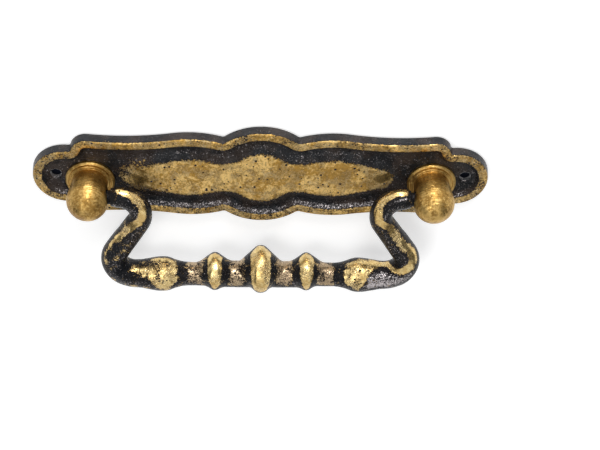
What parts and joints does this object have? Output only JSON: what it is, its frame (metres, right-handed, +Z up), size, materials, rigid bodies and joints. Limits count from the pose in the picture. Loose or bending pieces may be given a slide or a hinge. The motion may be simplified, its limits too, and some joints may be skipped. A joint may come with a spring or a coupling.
{
  "type": "bail pull",
  "caption": "Antiqued cast brass bail pull: a serpentine backplate with a raised field, turned posts and a swinging beaded bail; opens a drawer or cupboard door.",
  "frame": {"origin": "the centre of the backplate's flat back face, which lies on the drawer front", "axes": "X runs along the plate to the right, Z is up, and Y points from the front of the pull into the drawer front"},
  "size_m": [0.128, 0.0163, 0.0534],
  "materials": {
    "plate_brass": "cast, darkened in the hollows and rubbed bright on the raised faces",
    "turned_brass": "turned, left bright",
    "screw_brass": "plain",
    "bail_brass": "cast, darkened, rubbed bright on the crests"
  },
  "bodies": {
    "plate": {"backplate": "plate_brass", "left_post": "turned_brass", "right_post": "turned_brass", "post_screws": "screw_brass"},
    "bail": {"bail": "bail_brass"}
  },
  "joints": [
    {"name": "bail_swing", "type": "hinge", "parent": "plate", "child": "bail", "pos_m": [0, -0.0092, -0.0017], "axis": [-1, 0, 0], "range_deg": [-4, 184]}
  ]
}
